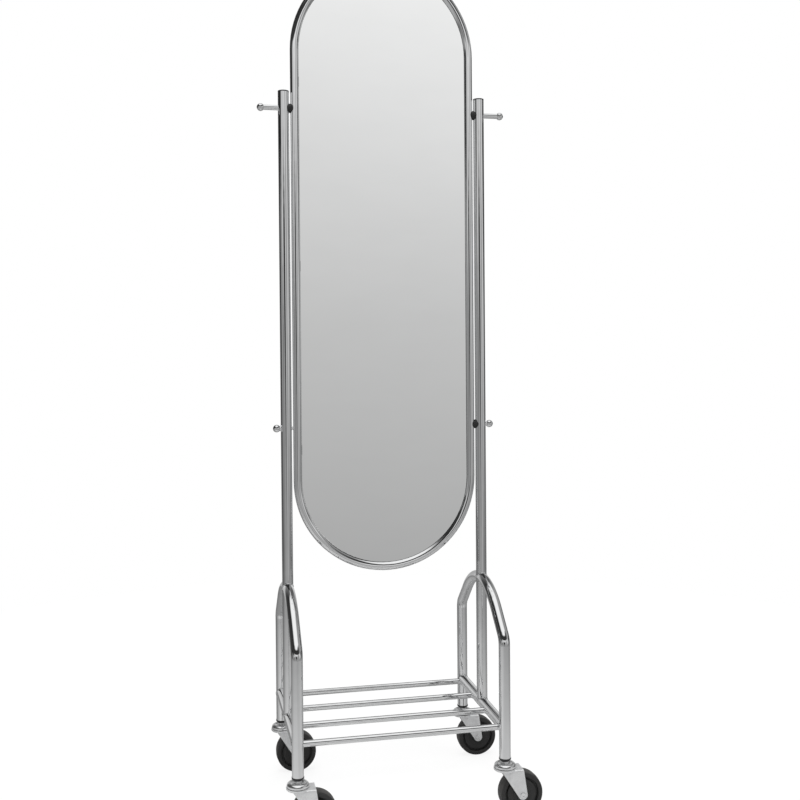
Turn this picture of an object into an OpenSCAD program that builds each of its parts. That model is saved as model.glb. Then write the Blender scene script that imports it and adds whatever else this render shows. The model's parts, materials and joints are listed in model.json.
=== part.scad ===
// Rolling floor mirror: a stadium-shaped glass in a bent tube ring, held at four points between
// two posts. Each post stands on a bent side loop whose two legs end in swivel casters, and four
// rods between the bottom rails make a low shelf.
// X runs to the right across the glass, Y runs from the glass to its back, Z runs up.
// The origin is on the floor, midway between the posts and midway between front and rear legs.

/* [Posts and rails] */
// Outer diameter of the posts, side loops and bottom rails
tube_d = 22; // [20:0.5:25]
// Wall of the posts, side loops and bottom rails
tube_wall = 1.5; // [1:0.1:2]
// Distance between the centre lines of the two posts
post_spacing = 400; // [360:5:460]
// Height of the post tubes' open ends above the floor
post_top_z = 1408.5; // [1350:5:1500]
// Height of the bottom rails' centre line above the legs' lower ends
rail_rise = 58; // [40:1:80]
// Gap left round a coped and welded tube end
weld_gap = 0.1; // [0.05:0.05:0.3]

/* [Side loops] */
// Height of the loop's top centre line above the legs' lower ends
apex_rise = 316; // [290:2:360]
// Centre-line radius of the wide bend at the top of the loop
apex_bend_r = 150; // [120:2:170]
// Centre-line radius of the two tight bends above the legs
shoulder_bend_r = 26; // [24:1:34]
// Slope of the straight stretches between the bends, from level
slope_angle = 43; // [38:1:48]
// Length of the straight stretches between the bends
slope_length = 58; // [45:1:80]
// How far the tube swells in a bend, all round
bend_swell = 0.05; // [0.05:0.01:0.1]
// How far a straight stretch reaches into its bends
bend_overlap = 0.5; // [0.4:0.1:1]

/* [Shelf rods] */
// Diameter of the shelf rods
rod_d = 12; // [8:0.5:14]
// Number of shelf rods
rod_count = 4; // [4:1:4]
// Distance from rod to rod
rod_pitch = 94.5; // [80:0.5:98]
// How far the rods' centre lines lie below the rails' centre lines
rod_drop = 2; // [0:0.5:4]

/* [Mirror] */
// Outer diameter of the ring's tube
ring_d = 17; // [14:0.5:20]
// Wall of the ring's tube
ring_wall = 1.2; // [1:0.1:1.6]
// Gap between the ring and a post
post_gap = 2.5; // [1.5:0.5:6]
// Height of the ring's lowest point above the floor
ring_bottom_z = 452; // [445:1:480]
// Length of the ring's straight sides
ring_straight = 855; // [800:5:900]
// Thickness of the glass
glass_t = 4; // [3:0.5:5]
// Play between the glass or its panel and the ring
glass_gap = 0.3; // [0.2:0.1:0.6]
// Thickness of the panel behind the glass
panel_t = 3; // [3:0.5:5]
// Thickness of the bond tapes between glass and panel
tape_t = 1; // [0.8:0.1:1.5]
// Width of the bond tapes
tape_w = 20; // [12:1:30]

/* [Panel tabs and screws] */
// Width of the tabs welded to the back of the ring
tab_w = 20; // [16:1:30]
// Thickness of the tabs
tab_t = 1.5; // [1:0.1:2]
// How far a tab reaches in over the panel
tab_reach = 20; // [16:1:30]
// Distance between neighbouring tabs on the straight sides
tab_pitch = 366; // [300:2:380]
// Shank diameter of the panel screws
screw_d = 4; // [3:0.5:5]
// Head diameter of the panel screws
screw_head_d = 8; // [7:0.5:10]
// Head height of the panel screws
screw_head_h = 2.4; // [1.8:0.1:3]
// Width of the cross slots in the screw heads
screw_slot_w = 1; // [0.8:0.1:1.2]
// Depth of the cross slots
screw_slot_depth = 1.2; // [0.8:0.1:1.6]
// Gap between a screw's end and the panel's front face
screw_end_gap = 0.2; // [0.1:0.1:0.5]

/* [Mirror fixings] */
// Height of the two upper fixings with hook pegs
peg_z = 1377; // [1300:1:1390]
// Height of the two lower fixings with ball screws
ball_screw_z = 744; // [700:1:800]
// Diameter of the threaded studs
stud_d = 6; // [5:0.5:7]
// Radial play of a stud in a drilled hole
stud_play = 0.2; // [0.1:0.05:0.4]
// Diameter of the balls on pegs and screws
ball_d = 15; // [14:0.5:18]
// Diameter of the peg's rod
peg_rod_d = 10; // [8:0.5:12]
// Distance from a post's centre line to a hook peg's ball centre
peg_ball_x = 45; // [35:1:60]
// Distance from a post's centre line to a ball screw's ball centre
screw_ball_x = 19; // [19:0.5:25]
// Diameter of the washers between post and peg or screw
washer_d = 10; // [9:0.5:12]
// Thickness of the washers on the post's centre line
washer_t = 3; // [2:0.5:4]
// Diameter of the rubber spacers between post and ring
spacer_d = 18; // [16:0.5:22]
// Width of the rubber spacers
spacer_w = 11.5; // [9:0.5:13]
// Outer diameter of the threaded bosses in the ring
boss_d = 9; // [8:0.5:10]
// Length of the threaded bosses
boss_len = 11; // [9:0.5:12]

/* [End plugs] */
// Height of the rim of a post's end plug
plug_rim_h = 2.5; // [2:0.5:4]
// Length of the plug's shank in the post
plug_shank_h = 18; // [12:1:25]
// Wall of the plug's shank
plug_wall = 1.5; // [1:0.1:2]
// Play between the plug's ribs and the tube
plug_play = 0.1; // [0.05:0.05:0.2]
// Number of ribs round the shank
plug_ribs = 3; // [2:1:4]
// Thickness of a rib
plug_rib_t = 1.5; // [1:0.1:2]
// Gap between the shank and the tube
plug_shank_gap = 0.8; // [0.5:0.1:1.2]
// Rounding of the rim's upper edge
plug_round = 1; // [0.5:0.1:1.5]

/* [Leg sockets and stems] */
// Diameter of the flange under the leg
socket_flange_d = 23.4; // [22:0.2:26]
// Height of the flange
socket_flange_h = 6; // [4:0.5:8]
// Height of the flange's straight rim, above its taper
socket_rim_h = 2.5; // [1.5:0.5:3]
// Diameter at the lower end of the flange
socket_nose_d = 16; // [15:0.5:18]
// Length of the tapered lead at the sleeve's upper end
socket_lead = 2; // [1:0.5:3]
// Length of the socket's sleeve in the leg
socket_depth = 38; // [30:1:50]
// Diameter of the stem
stem_d = 11; // [10:0.5:12]
// Radial play of the stem in its socket
stem_play = 0.1; // [0.05:0.05:0.2]
// Length of the stem in the socket
stem_depth = 34; // [25:1:36]
// Width across the flats of the stem's collar
collar_af = 13; // [12:0.5:15]
// Height of the stem's collar
collar_h = 6; // [4:0.5:8]
// Diameter of the kingpin below the collar
kingpin_d = 10; // [8:0.5:11]
// Diameter of the kingpin's riveted head
rivet_d = 16; // [14:0.5:20]
// Diameter of the riveted head's upper, narrower end
rivet_neck_d = 12; // [11:0.5:14]
// Thickness of the kingpin's riveted head
rivet_h = 3; // [2:0.5:4]
// Gap between the riveted head and the crown over it
rivet_gap = 0.3; // [0.2:0.1:0.5]

/* [Caster bearing] */
// Diameter of the fork's crown
race_d = 44; // [43:1:48]
// Step round the crown's lower edge
crown_edge = 1; // [0.5:0.1:1.5]
// Diameter of the raceway cap
cap_d = 41.5; // [41:0.5:43]
// Height of the cap's middle, on which the collar sits
cap_h = 5; // [4.5:0.5:6.5]
// Sheet thickness of the raceway cap
cap_t = 1.5; // [1:0.1:2]
// Height of the cap's skirt below its bulge
cap_skirt_h = 2; // [1.5:0.1:2.5]
// Height of the bulge over the balls, above the skirt
bulge_h = 5.5; // [5:0.1:6]
// Gap between the cap's rim and the crown
cap_gap = 1.5; // [1:0.1:2]
// Number of bearing balls
bearing_balls = 12; // [10:1:12]
// Diameter of the circle on which the balls run
ball_circle_d = 29; // [28.5:0.5:30]
// Play of a ball between its two tracks
ball_play = 0.1; // [0.05:0.05:0.2]

/* [Fork and wheel] */
// Diameter of the wheel over its tyre
wheel_d = 85; // [75:1:90]
// Width of the tyre
tyre_w = 27; // [24:1:30]
// Depth of the tyre from its tread to its seat
tyre_depth = 9.5; // [8:0.5:14]
// Corner radius of the tyre's tread
tread_corner_r = 3; // [2:0.5:5]
// Crown of the tread, at the middle over the corners
tread_crown = 0.8; // [0.4:0.1:1.2]
// Play between the tyre and its seat
tyre_play = 0.05; // [0.05:0.05:0.1]
// Chamfer of the tyre's inner edges
tyre_edge = 1; // [0.5:0.1:1.5]
// Width of the disc inside the tyre
disc_w = 23; // [20:1:26]
// Width of the groove round the disc
groove_w = 4; // [3:0.5:6]
// Depth of the groove
groove_depth = 4; // [2:0.5:6]
// How far the groove's inner flank slopes
groove_slope = 1.5; // [1:0.1:2]
// Chamfer of the disc's edge
disc_edge = 0.8; // [0.5:0.1:1.2]
// Diameter of the hub
hub_d = 22; // [20:1:28]
// How far the hub's flank slopes
hub_slope = 2; // [1:0.5:3]
// Chamfer of the hub's edge
hub_edge = 1; // [0.5:0.1:1.5]
// Distance from the swivel axis to the axle
trail = 30; // [25:1:36]
// Height of the crown's plate above the axle
fork_h = 48.5; // [47:0.5:55]
// Clear width between the fork's legs
fork_gap = 34; // [32:0.5:40]
// Sheet thickness of the fork's legs
fork_t = 2; // [1.5:0.1:2.5]
// Sheet thickness of the fork's crown plate
crown_t = 2.5; // [2:0.1:3]
// Height of the crown's raised race over its plate
race_h = 1.5; // [1:0.1:2]
// Radius of the folded edges, outside
fork_fold_r = 4; // [3:0.5:5]
// How far the fork's legs reach behind the swivel axis
fork_back = 12; // [8:0.5:15]
// How far the fork's legs reach past the swivel axis on the trailing side
fork_front = 32; // [30:0.5:40]
// Radius of the fork's tip round the axle
fork_tip_r = 9; // [8:0.5:12]
// How far the legs' straight edges cut into the round tip
tip_overlap = 0.05; // [0.04:0.01:0.1]
// Diameter of the axle bolt
axle_d = 8; // [6:0.5:9]
// Head diameter of the axle bolt
axle_head_d = 11.5; // [11:0.5:16]
// Head height of the axle bolt
axle_head_h = 2.6; // [2.4:0.1:4]
// Rounding of the head's outer edge
axle_head_round = 0.8; // [0.4:0.1:1.2]
// Diameter of the recess in the head
axle_recess_d = 5; // [4:0.5:7]
// Depth of the recess
axle_recess_depth = 1.1; // [0.5:0.1:1.5]
// How far the bolt stands out of its nut
axle_end = 1.5; // [1:0.5:3]
// Width across the flats of the axle nut
nut_af = 13; // [12.5:0.5:15]
// Diameter over the nut's rounded corners
nut_corner_d = 14; // [13.5:0.5:17]
// Height of the axle nut
nut_h = 6.5; // [5:0.5:8]
// Chamfer of the nut's outer end
nut_chamfer = 1.6; // [1:0.1:2]
// Outer diameter of the axle bush
bush_d = 12; // [11:0.5:14]
// Play between wheel and fork, on each side
hub_side_play = 0.5; // [0.3:0.1:1]
// Radial play of a part that turns on a pin or bush
running_play = 0.06; // [0.02:0.01:0.1]
// Radial play of a pin in a part that doesn't turn on it
pin_play = 0.1; // [0.05:0.05:0.2]

/* [Hidden] */
$fn = 64;
// Radii that are used often
tube_r = tube_d / 2;
tube_inner_r = tube_r - tube_wall;
ring_tube_r = ring_d / 2;
wheel_r = wheel_d / 2;
race_r = race_d / 2;
cap_r = cap_d / 2;
ball_circle_r = ball_circle_d / 2;
post_x = post_spacing / 2;
// How far a cutter reaches past what it cuts
over = 1;

// Heights of the caster's parts, from the floor up to the leg's end
axle_z = wheel_r;
plate_z = axle_z + fork_h;
race_z = plate_z + race_h;
cap_z = race_z + cap_gap;
collar_z = cap_z + cap_h;
flange_z = collar_z + collar_h;
leg_z = flange_z + socket_flange_h;
bulge_z = cap_z + cap_skirt_h;
bearing_ball_d = bulge_z + bulge_h - cap_t - race_z - 2 * ball_play;

// Heights of the frame's centre lines
rail_z = leg_z + rail_rise;
apex_z = leg_z + apex_rise;
rod_z = rail_z - rod_drop;

// The side loop: the legs' place, the upper end of the slope and the upper end of the leg
leg_y = apex_bend_r * sin(slope_angle) + slope_length * cos(slope_angle)
    + shoulder_bend_r * (1 - sin(slope_angle));
slope_top_y = apex_bend_r * sin(slope_angle);
slope_top_z = apex_z - apex_bend_r * (1 - cos(slope_angle));
shoulder_z = slope_top_z - slope_length * sin(slope_angle) - shoulder_bend_r * cos(slope_angle);

// The ring: its centre line, and the outline of what lies inside it
ring_outer_r = post_x - tube_r - post_gap;
ring_r = ring_outer_r - ring_tube_r;
ring_inner_r = ring_r - ring_tube_r;
ring_low_z = ring_bottom_z + ring_outer_r;
ring_high_z = ring_low_z + ring_straight;
ring_mid_z = (ring_low_z + ring_high_z) / 2;
glass_r = ring_inner_r - glass_gap;
glass_back_y = glass_t / 2;
panel_front_y = glass_back_y + tape_t;
panel_back_y = panel_front_y + panel_t;
tab_back_y = panel_back_y + tab_t;
tab_inner_r = glass_r - tab_reach;
tab_screw_r = tab_inner_r + tab_reach / 2;
tab_z = [ring_mid_z - tab_pitch, ring_mid_z, ring_mid_z + tab_pitch];

// Sides and corners: left is negative X, front is negative Y
SIDES = [["left", -1], ["right", 1]];
CORNERS = [for (row = [["front", -1], ["rear", 1]]) for (side = SIDES)
    [str(row[0], "_", side[0]), side[1] * post_x, row[1] * leg_y]];
ROD_NAMES = ["front_shelf_rod", "front_middle_shelf_rod", "rear_middle_shelf_rod", "rear_shelf_rod"];
SIDE_PARTS = ["side_loop", "upper_post", "inner_post", "bottom_rail", "hook_peg", "ball_screw"];
CASTER_PARTS = ["bearing_balls", "fork", "axle_bolt", "axle_nut", "axle_bush", "wheel_core", "tyre"];
SINGLE_PARTS = ["post_end_plugs", "mirror_ring", "mirror_glass", "bond_tapes", "backing_panel",
    "backing_tabs", "panel_screws", "ring_bosses", "mirror_spacers", "peg_washers", "leg_sockets",
    "caster_stems", "raceway_caps"];

CHROME = "gainsboro";
ZINC = "silver";
BLACK = "#262626";

// ---- shapes that repeat ----

// Lays a drawing's X along world Y and its Y along world Z, in the plane of a side loop
module side_plane(x) {
    translate([x, 0, 0]) rotate([90, 0, 90]) children();
}

// Lays a drawing's Y along world Z, in the plane of the mirror
module mirror_plane() {
    rotate([90, 0, 0]) children();
}

// A straight stretch of tube, or of rod when the wall is 0, along Z
module straight(d, wall, length) {
    linear_extrude(length) section(d, wall);
}

module section(d, wall) {
    difference() {
        circle(d = d);
        if (wall > 0) circle(d = d - 2 * wall);
    }
}

// A stretch between two points of the drawing
module stretch(d, wall, from, to) {
    run = to - from;
    translate([from[0], from[1], 0]) rotate([0, 0, atan2(run[1], run[0])]) rotate([0, 90, 0])
        straight(d, wall, norm(run));
}

// A bend round a centre, from a start angle and through a swept angle
module bend(d, wall, centre, radius, start, sweep) {
    translate([centre[0], centre[1], 0]) rotate([0, 0, start])
        rotate_extrude(angle = sweep, $fn = 128) translate([radius, 0]) section(d, wall);
}

// A cylinder along world X, from x0 to x1
module bar_x(d, x0, x1, y, z) {
    translate([x0, y, z]) rotate([0, 90, 0]) cylinder(d = d, h = x1 - x0);
}

// A cylinder along world Y, from y0 to y1
module bar_y(d, x, y0, y1, z) {
    translate([x, y0, z]) rotate([-90, 0, 0]) cylinder(d = d, h = y1 - y0);
}

// What a mating tube takes out of a coped end
module apex_cutter(x) {
    side_plane(x)
        bend(tube_d + 2 * (bend_swell + weld_gap), 0, [0, apex_z - apex_bend_r], apex_bend_r,
            90 - slope_angle, 2 * slope_angle);
}

module rail_cutter(x) {
    bar_y(tube_d + 2 * weld_gap, x, -leg_y, leg_y, rail_z);
}

module leg_cutters(x) {
    for (y = [-leg_y, leg_y])
        translate([x, y, leg_z]) cylinder(d = tube_d + 2 * weld_gap, h = 2 * rail_rise);
}

// ---- frame ----

// The loop's whole path as a rod: the wide bend, then slope, tight bend and leg on both sides
module loop_body(d) {
    swollen_d = d + 2 * bend_swell;
    bend(swollen_d, 0, [0, apex_z - apex_bend_r], apex_bend_r, 90 - slope_angle, 2 * slope_angle);
    for (m = [0, 1]) mirror([m, 0, 0]) {
        translate([slope_top_y, slope_top_z, 0]) rotate([0, 0, -slope_angle]) rotate([0, 90, 0])
            translate([0, 0, -bend_overlap])
                cylinder(d = d, h = slope_length + 2 * bend_overlap);
        bend(swollen_d, 0, [leg_y - shoulder_bend_r, shoulder_z], shoulder_bend_r, 0,
            90 - slope_angle);
        stretch(d, 0, [leg_y, leg_z], [leg_y, shoulder_z + bend_overlap]);
    }
}

module side_loop(x) {
    color(CHROME) side_plane(x) difference() {
        loop_body(tube_d);
        loop_body(tube_d - 2 * tube_wall);
    }
}

// The post is coped onto the loop and drilled across for the two studs
module upper_post(x) {
    color(CHROME) difference() {
        translate([x, 0, apex_z]) straight(tube_d, tube_wall, post_top_z - apex_z);
        apex_cutter(x);
        for (z = [peg_z, ball_screw_z])
            bar_x(stud_d + 2 * stud_play, x - tube_d, x + tube_d, 0, z);
    }
}

module inner_post(x) {
    color(CHROME) difference() {
        translate([x, 0, rail_z]) straight(tube_d, tube_wall, apex_z - rail_z);
        apex_cutter(x);
        rail_cutter(x);
    }
}

module bottom_rail(x) {
    color(CHROME) difference() {
        translate([x, -leg_y, rail_z]) rotate([-90, 0, 0]) straight(tube_d, tube_wall, 2 * leg_y);
        leg_cutters(x);
    }
}

module shelf_rod(index) {
    y = (index - (rod_count - 1) / 2) * rod_pitch;
    color(CHROME) difference() {
        bar_x(rod_d, -post_x, post_x, y, rod_z);
        for (x = [-post_x, post_x]) {
            rail_cutter(x);
            leg_cutters(x);
        }
    }
}

module post_end_plug() {
    shank_r = tube_inner_r - plug_shank_gap;
    rib_step = plug_shank_h / (plug_ribs + 1);
    difference() {
        union() {
            rotate_extrude() {
                square([tube_r - plug_round, plug_rim_h]);
                square([tube_r, plug_rim_h - plug_round]);
                translate([tube_r - plug_round, plug_rim_h - plug_round])
                    circle(r = plug_round, $fn = 32);
            }
            translate([0, 0, -plug_shank_h]) cylinder(r = shank_r, h = plug_shank_h);
            for (i = [1 : plug_ribs]) translate([0, 0, -i * rib_step])
                cylinder(r = tube_inner_r - plug_play, h = plug_rib_t);
        }
        translate([0, 0, -plug_shank_h - over])
            cylinder(r = shank_r - plug_wall, h = plug_shank_h + over);
    }
}

module post_end_plugs() {
    color(BLACK) for (side = SIDES)
        translate([side[1] * post_x, 0, post_top_z]) post_end_plug();
}

// ---- mirror ----

// The ring's shape with another tube diameter and wall, drawn from the middle of its height
module ring_body(d, wall) {
    half = ring_straight / 2;
    translate([0, 0, ring_mid_z]) mirror_plane() {
        bend(d, wall, [0, half], ring_r, 0, 180);
        bend(d, wall, [0, -half], ring_r, 180, 180);
        for (x = [-ring_r, ring_r]) stretch(d, wall, [x, -half], [x, half]);
    }
}

module mirror_ring() {
    color(CHROME) difference() {
        ring_body(ring_d, ring_wall);
        each_fixing() translate([-boss_len - post_gap - tube_r, 0, 0]) rotate([0, 90, 0])
            cylinder(r = boss_d / 2 + weld_gap, h = boss_len + post_gap);
    }
}

// A flat stadium that lies inside the ring, from y0 to y1
module stadium(radius, y0, y1) {
    translate([0, y1, 0]) rotate([90, 0, 0]) linear_extrude(y1 - y0) {
        translate([-radius, ring_low_z]) square([2 * radius, ring_straight]);
        for (z = [ring_low_z, ring_high_z]) translate([0, z]) circle(r = radius, $fn = 128);
    }
}

module mirror_glass() {
    color("lightsteelblue") stadium(glass_r, -glass_t / 2, glass_back_y);
}

// Upright tapes that bond the glass to the panel
module bond_tapes() {
    spread = glass_r / 2;
    color(BLACK) for (x = [-spread, 0, spread])
        translate([x - tape_w / 2, glass_back_y, ring_low_z]) cube([tape_w, tape_t, ring_straight]);
}

module backing_panel() {
    color("dimgray") difference() {
        stadium(glass_r, panel_front_y, panel_back_y);
        each_tab() bar_y(screw_d, tab_screw_r, panel_front_y - over, panel_back_y + over, 0);
    }
}

// Puts a child at every tab: three on each straight side, one at the top and one at the bottom
module each_tab() {
    for (z = tab_z, m = [0, 1]) translate([0, 0, z]) mirror([m, 0, 0]) children();
    translate([0, 0, ring_high_z]) rotate([0, -90, 0]) children();
    translate([0, 0, ring_low_z]) rotate([0, 90, 0]) children();
}

module backing_tabs() {
    color(CHROME) difference() {
        each_tab() difference() {
            translate([tab_inner_r, panel_back_y, -tab_w / 2])
                cube([ring_r - tab_inner_r, tab_t, tab_w]);
            bar_y(screw_d + 2 * pin_play, tab_screw_r, panel_back_y - over, tab_back_y + over, 0);
        }
        ring_body(ring_d + 2 * weld_gap, 0);
    }
}

// Pan-head screws that go through the tabs into the panel
module panel_screws() {
    color(ZINC) each_tab() difference() {
        union() {
            bar_y(screw_d, tab_screw_r, panel_front_y + screw_end_gap, tab_back_y, 0);
            bar_y(screw_head_d, tab_screw_r, tab_back_y, tab_back_y + screw_head_h, 0);
        }
        for (turn = [0, 90]) translate([tab_screw_r, tab_back_y + screw_head_h, 0])
            rotate([0, turn, 0]) cube([screw_d, 2 * screw_slot_depth, screw_slot_w], center = true);
    }
}

// ---- fixings between posts and ring ----

// Puts a child on a post's centre line at each fixing, with its X pointing outwards
module fixing(side, z) {
    translate([side * post_x, 0, z]) mirror([side < 0 ? 1 : 0, 0, 0]) children();
}

module each_fixing() {
    for (side = [-1, 1], z = [peg_z, ball_screw_z]) fixing(side, z) children();
}

module ring_bosses() {
    outer = -tube_r - post_gap;
    color(ZINC) each_fixing() difference() {
        intersection() {
            bar_x(boss_d, outer - boss_len, outer, 0, 0);
            translate([-post_x + ring_r, 0, -boss_d]) cylinder(d = ring_d, h = 2 * boss_d);
        }
        bar_x(stud_d + 2 * running_play, outer - boss_len - over, outer + over, 0, 0);
    }
}

// A saddle that fills the space between the round post and the round ring
module mirror_spacer() {
    difference() {
        bar_x(spacer_d, -post_x + ring_outer_r - ring_tube_r / 2 - stud_play,
            -post_x + ring_outer_r - ring_tube_r / 2 - stud_play + spacer_w, 0, 0);
        translate([0, 0, -spacer_d]) cylinder(r = tube_r + weld_gap, h = 2 * spacer_d);
        translate([-post_x + ring_r, 0, -spacer_d])
            cylinder(r = ring_tube_r + weld_gap, h = 2 * spacer_d);
        bar_x(stud_d + 2 * stud_play, -tube_d - post_gap - ring_d, 0, 0, 0);
    }
}

// The lower left fixing has no spacer and shows its bare stud
module mirror_spacers() {
    color(BLACK) {
        for (side = [-1, 1]) fixing(side, peg_z) mirror_spacer();
        fixing(1, ball_screw_z) mirror_spacer();
    }
}

// The washer is hollowed to the post on one side and to the ball on the other
module peg_washer(ball_x) {
    difference() {
        bar_x(washer_d, 0, tube_r + washer_t, 0, 0);
        translate([0, 0, -tube_d]) cylinder(r = tube_r + weld_gap, h = 2 * tube_d);
        translate([ball_x, 0, 0]) sphere(r = ball_d / 2 + weld_gap);
        bar_x(stud_d + 2 * stud_play, 0, tube_d, 0, 0);
    }
}

module peg_washers() {
    color(CHROME) for (side = [-1, 1]) {
        fixing(side, peg_z) peg_washer(peg_ball_x);
        fixing(side, ball_screw_z) peg_washer(screw_ball_x);
    }
}

// The stud runs from the ball or rod to the far end of the boss in the ring
module stud(outer_end) {
    bar_x(stud_d, -tube_r - post_gap - boss_len, outer_end, 0, 0);
}

module hook_peg(side) {
    color(CHROME) fixing(side, peg_z) {
        stud(tube_r + washer_t);
        bar_x(peg_rod_d, tube_r + washer_t, peg_ball_x, 0, 0);
        translate([peg_ball_x, 0, 0]) sphere(d = ball_d);
    }
}

module ball_screw(side) {
    color(CHROME) fixing(side, ball_screw_z) {
        stud(screw_ball_x);
        translate([screw_ball_x, 0, 0]) sphere(d = ball_d);
    }
}

// ---- leg ends and caster bearings, the same at every corner ----

module each_corner() {
    for (corner = CORNERS) translate([corner[1], corner[2], 0]) children();
}

module leg_sockets() {
    nose_r = socket_nose_d / 2;
    rim_r = socket_flange_d / 2;
    bore_r = stem_d / 2 + stem_play;
    color(BLACK) each_corner() rotate_extrude() difference() {
        polygon([[0, flange_z], [nose_r, flange_z], [rim_r, leg_z - socket_rim_h], [rim_r, leg_z],
            [tube_inner_r - plug_play, leg_z],
            [tube_inner_r - plug_play, leg_z + socket_depth - socket_lead],
            [tube_inner_r - socket_lead / 2, leg_z + socket_depth], [0, leg_z + socket_depth]]);
        translate([0, flange_z - over]) square([bore_r, socket_flange_h + stem_depth + 2 * over]);
    }
}

module caster_stems() {
    head_z = plate_z - crown_t - rivet_gap;
    color(ZINC) each_corner() {
        translate([0, 0, flange_z]) cylinder(d = stem_d, h = socket_flange_h + stem_depth);
        translate([0, 0, collar_z]) cylinder(d = collar_af / cos(30), h = collar_h, $fn = 6);
        translate([0, 0, head_z - rivet_h]) cylinder(d = kingpin_d, h = collar_z - head_z + rivet_h);
        translate([0, 0, head_z - rivet_h]) cylinder(d1 = rivet_neck_d, d2 = rivet_d, h = rivet_h / 2);
        translate([0, 0, head_z - rivet_h / 2]) cylinder(d = rivet_d, h = rivet_h / 2);
    }
}

// Half section of the cap's outside, or of its inside when an inset is given: a flat middle, a
// round bulge over the balls and a straight skirt
module cap_outline(inset) {
    span = cap_r - ball_circle_r - inset;
    rise = bulge_h - inset;
    last = 180 - asin((collar_z - inset - bulge_z) / rise);
    turns = [for (i = [0 : 10]) i * last / 10];
    bulge = [for (turn = turns) [ball_circle_r + span * cos(turn), bulge_z + rise * sin(turn)]];
    polygon(concat([[0, cap_z], [cap_r - inset, cap_z]], bulge, [[0, collar_z - inset]]));
}

// A pressed cap whose bulge holds the balls and whose middle carries the stem's collar
module raceway_caps() {
    color(ZINC) each_corner() rotate_extrude() difference() {
        cap_outline(0);
        cap_outline(cap_t);
        translate([0, cap_z - over]) square([cap_r - cap_t, over + cap_skirt_h / 2]);
        square([kingpin_d / 2 + weld_gap, collar_z + over]);
    }
}

// ---- caster parts, drawn round the swivel axis ----

module bearing_balls() {
    color(ZINC) for (i = [0 : bearing_balls - 1]) rotate([0, 0, i * 360 / bearing_balls])
        translate([ball_circle_r, 0, race_z + ball_play + bearing_ball_d / 2])
            sphere(d = bearing_ball_d);
}

// Point where a line from p runs into the tip circle round the axle; side is 1 or -1
function tip_tangent(p, side) =
    let (to_axle = [trail, axle_z] - p)
    let (reach = norm(to_axle))
    let (tip_r = fork_tip_r - tip_overlap)
    let (heading = atan2(to_axle[1], to_axle[0]) + side * asin(tip_r / reach))
    p + sqrt(pow(reach, 2) - pow(tip_r, 2)) * [cos(heading), sin(heading)];

// Side view of the fork: two straight edges that run into the round tip
module fork_outline() {
    rear = [-fork_back, plate_z];
    front = [fork_front, plate_z];
    polygon([rear, tip_tangent(rear, -1), [trail, axle_z], tip_tangent(front, 1), front]);
    translate([trail, axle_z]) circle(r = fork_tip_r);
}

// End view of the folded strip: a plate with two legs and rounded folds
module fork_section() {
    half = fork_gap / 2 + fork_t;
    low = axle_z - fork_tip_r;
    fold_inner_r = fork_fold_r - fork_t;
    difference() {
        union() {
            translate([-half, low]) square([2 * half, plate_z - fork_fold_r - low]);
            translate([-half + fork_fold_r, low])
                square([2 * (half - fork_fold_r), plate_z - low]);
            for (y = [-half + fork_fold_r, half - fork_fold_r])
                translate([y, plate_z - fork_fold_r]) circle(r = fork_fold_r);
        }
        translate([-fork_gap / 2, low - over])
            square([fork_gap, plate_z - crown_t - fold_inner_r - low + over]);
        translate([-fork_gap / 2 + fold_inner_r, low - over])
            square([fork_gap - 2 * fold_inner_r, plate_z - crown_t - low + over]);
        for (y = [-1, 1])
            translate([y * (fork_gap / 2 - fold_inner_r), plate_z - crown_t - fold_inner_r])
                circle(r = fold_inner_r);
    }
}

module fork() {
    half = fork_gap / 2 + fork_t;
    color(ZINC) difference() {
        union() {
            intersection() {
                translate([-fork_back - over, 0, 0]) rotate([90, 0, 90])
                    linear_extrude(trail + fork_back + fork_front + 2 * over) fork_section();
                translate([0, half + over, 0]) rotate([90, 0, 0])
                    linear_extrude(2 * (half + over)) fork_outline();
            }
            // The round crown carries the lower ball track
            translate([0, 0, plate_z - crown_t]) cylinder(r = race_r - crown_edge, h = crown_edge);
            translate([0, 0, plate_z - crown_t + crown_edge])
                cylinder(r = race_r, h = crown_t + race_h - crown_edge);
        }
        translate([0, 0, plate_z - crown_t - over])
            cylinder(r = kingpin_d / 2 + running_play, h = crown_t + race_h + 2 * over);
        bar_y(axle_d + 2 * pin_play, trail, -half - over, half + over, axle_z);
    }
}

// Puts a child on the axle with its Z along the axle, towards the rear
module on_axle() {
    translate([trail, 0, axle_z]) rotate([-90, 0, 0]) children();
}

module axle_bolt() {
    half = fork_gap / 2 + fork_t;
    edge = axle_head_round;
    color(ZINC) on_axle() difference() {
        union() {
            translate([0, 0, -half]) cylinder(d = axle_d, h = 2 * half + nut_h + axle_end);
            translate([0, 0, -half - axle_head_h]) rotate_extrude() {
                square([axle_head_d / 2 - edge, axle_head_h]);
                translate([0, edge]) square([axle_head_d / 2, axle_head_h - edge]);
                translate([axle_head_d / 2 - edge, edge]) circle(r = edge, $fn = 32);
            }
        }
        translate([0, 0, -half - axle_head_h - over])
            cylinder(d = axle_recess_d, h = axle_recess_depth + over);
    }
}

module axle_nut() {
    half = fork_gap / 2 + fork_t;
    color(ZINC) on_axle() translate([0, 0, half]) difference() {
        intersection() {
            cylinder(d = nut_af / cos(30), h = nut_h, $fn = 6);
            union() {
                cylinder(d = nut_corner_d, h = nut_h - nut_chamfer);
                translate([0, 0, nut_h - nut_chamfer])
                    cylinder(d1 = nut_corner_d, d2 = nut_corner_d - 2 * nut_chamfer, h = nut_chamfer);
            }
        }
        translate([0, 0, -over]) cylinder(r = axle_d / 2 + running_play, h = nut_h + 2 * over);
    }
}

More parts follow.
